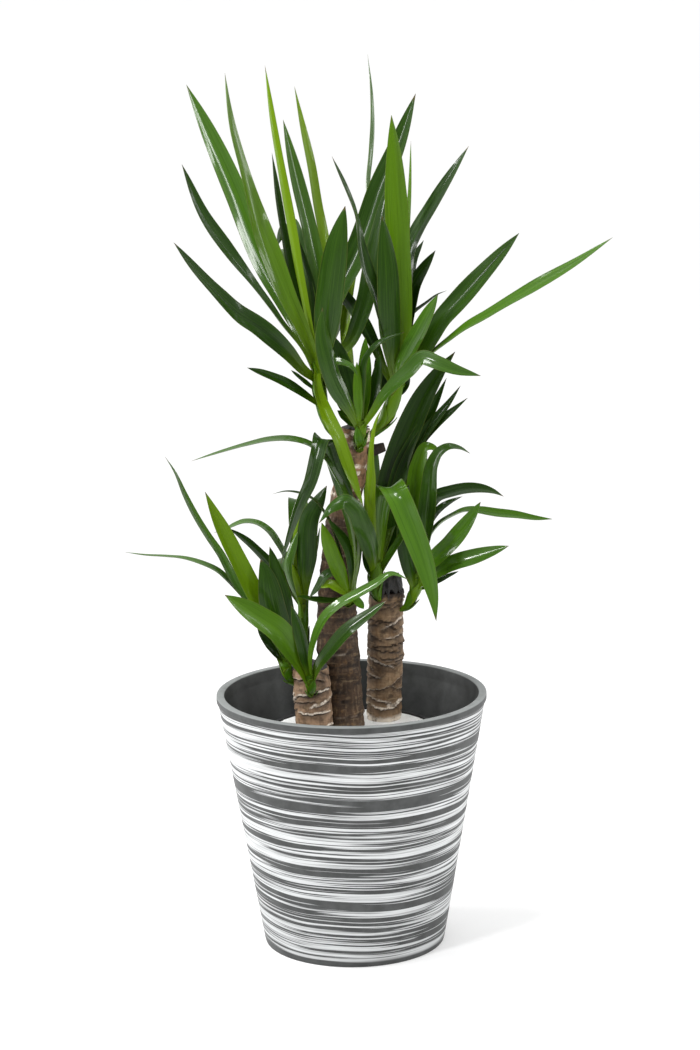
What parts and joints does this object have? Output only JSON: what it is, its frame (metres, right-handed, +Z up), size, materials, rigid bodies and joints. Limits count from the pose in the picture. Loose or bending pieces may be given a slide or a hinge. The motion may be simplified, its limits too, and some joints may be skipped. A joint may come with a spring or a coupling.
{
  "type": "potted yucca",
  "caption": "Yucca with three sawn canes and long arching leaves, in a nursery pot inside a tapered round planter with a brushed stripe finish.",
  "frame": {"origin": "centre of the planter's flat underside, on the floor", "axes": "+Z up along the planter's axis; -Y is the side that the picture shows, with the tallest cane in the middle and the lowest on its left (-X)"},
  "size_m": [0.6716, 0.4991, 1.241],
  "materials": {
    "planter_plastic": "charcoal with brushed silver-white streaks",
    "nursery_plastic": "black",
    "potting_soil": "dark crumbly soil",
    "white_chips": "white, dull",
    "bark_dark": "dark fibrous bark with pale leaf-scar rings",
    "bark_pale": "grey-brown bark with ring creases",
    "bark_short": "grey-brown bark with whitish ring scars",
    "cane_seal": "dark wound seal",
    "shoot_tall_left_green": "glossy leaf",
    "shoot_tall_right_green": "glossy leaf",
    "shoot_tall_front_green": "glossy leaf",
    "shoot_tall_low_green": "glossy leaf",
    "shoot_mid_front_green": "glossy leaf",
    "shoot_mid_right_green": "glossy leaf",
    "shoot_short_front_green": "glossy leaf",
    "shoot_short_left_green": "glossy leaf",
    "shoot_short_back_green": "glossy leaf"
  },
  "bodies": {
    "root": {"planter": "planter_plastic", "grow_pot": "nursery_plastic", "soil": "potting_soil", "white_dressing": "white_chips", "cane_tall": "bark_dark", "cane_mid": "bark_pale", "cane_short": "bark_short", "cap_tall": "cane_seal", "cap_mid": "cane_seal", "cap_short": "cane_seal", "shoot_tall_left": "shoot_tall_left_green", "shoot_tall_right": "shoot_tall_right_green", "shoot_tall_front": "shoot_tall_front_green", "shoot_tall_low": "shoot_tall_low_green", "shoot_mid_front": "shoot_mid_front_green", "shoot_mid_right": "shoot_mid_right_green", "shoot_short_front": "shoot_short_front_green", "shoot_short_left": "shoot_short_left_green", "shoot_short_back": "shoot_short_back_green"}
  },
  "joints": []
}
